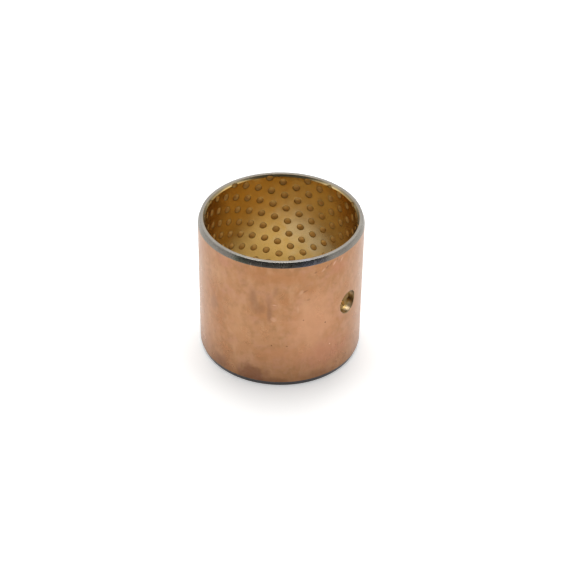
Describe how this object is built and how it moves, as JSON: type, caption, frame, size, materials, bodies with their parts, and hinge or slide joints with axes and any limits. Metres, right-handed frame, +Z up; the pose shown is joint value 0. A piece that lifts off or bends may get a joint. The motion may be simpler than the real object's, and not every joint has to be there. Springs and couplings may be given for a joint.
{
  "type": "bimetal bushing",
  "caption": "Short open tube with a steel outer wall and a thin bronze lining covered in small oil pockets, bevelled ends and one radial oil hole.",
  "frame": {"origin": "middle of the lower end, on the surface that the bush stands on", "axes": "+Z up the bore, +X out through the oil hole, +Y completes a right-handed frame"},
  "size_m": [0.055, 0.055, 0.05],
  "materials": {
    "steel_backing": "copper-plated low-carbon steel, bare turned steel on the end chamfers and end faces",
    "bronze_lining": "sintered leaded bronze, bored smooth, with pressed oil pockets"
  },
  "bodies": {
    "root": {"steel_backing": "steel_backing", "bronze_lining": "bronze_lining"}
  },
  "joints": []
}
